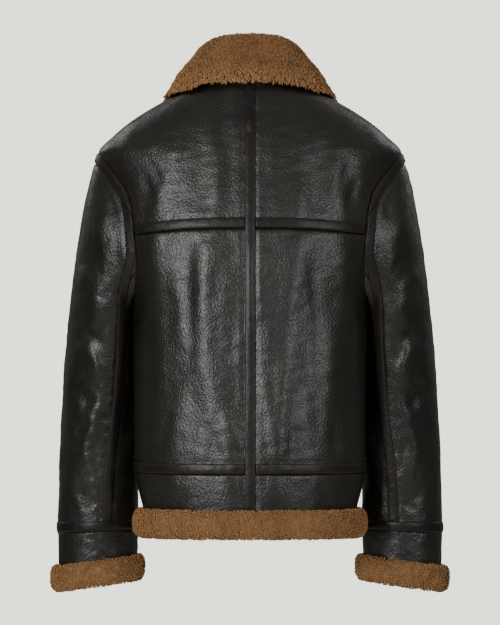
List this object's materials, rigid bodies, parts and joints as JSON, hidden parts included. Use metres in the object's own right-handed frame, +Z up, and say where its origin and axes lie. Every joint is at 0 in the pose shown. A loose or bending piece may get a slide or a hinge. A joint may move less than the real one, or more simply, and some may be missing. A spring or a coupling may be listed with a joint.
{
  "type": "shearling coat",
  "caption": "Hip-length shearling jacket filled out as worn: dark leather panels with taped seams, wide folded wool collar, long sleeves, wool hem and cuffs, zip front.",
  "frame": {"origin": "middle of the neck opening at the height of the back neck seam", "axes": "+Z up, the wearer faces -Y, +X towards the wearer's left"},
  "size_m": [0.602, 0.2805, 0.832],
  "materials": {
    "leather": "glossy pebbled grain, black-brown",
    "tape": "semi-gloss smooth leather tape, worn brown at its edges",
    "wool": "clumpy tan sheep's wool",
    "zip_tape": "black woven tape",
    "zip_metal": "darkened nickel"
  },
  "bodies": {
    "root": {"back_left": "leather", "back_right": "leather", "yoke_left": "leather", "yoke_right": "leather", "front_left": "leather", "front_right": "leather", "hem_band_back_left": "leather", "hem_band_back_right": "leather", "hem_band_front_left": "leather", "hem_band_front_right": "leather", "sleeve_outer_left": "leather", "sleeve_outer_right": "leather", "sleeve_under_left": "leather", "sleeve_under_right": "leather", "wristband_left": "leather", "wristband_right": "leather", "strap_centre_back": "tape", "strap_yoke_left": "tape", "strap_yoke_right": "tape", "strap_hem_left": "tape", "strap_hem_right": "tape", "strap_armhole_left": "tape", "strap_armhole_right": "tape", "strap_sleeve_left": "tape", "strap_sleeve_right": "tape", "strap_wrist_left": "tape", "strap_wrist_right": "tape", "collar": "wool", "hem_trim_left": "wool", "hem_trim_right": "wool", "cuff_trim_left": "wool", "cuff_trim_right": "wool", "zip_left": "zip_tape", "zip_right": "zip_tape", "zip_slider": "zip_metal"},
    "zip_pull": {"zip_pull": "zip_metal"}
  },
  "joints": [
    {"name": "pull_hinge", "type": "hinge", "parent": "root", "child": "zip_pull", "pos_m": [0, -0.10973, -0.09535], "axis": [-1, 0, 0], "range_deg": [0, 165]}
  ]
}
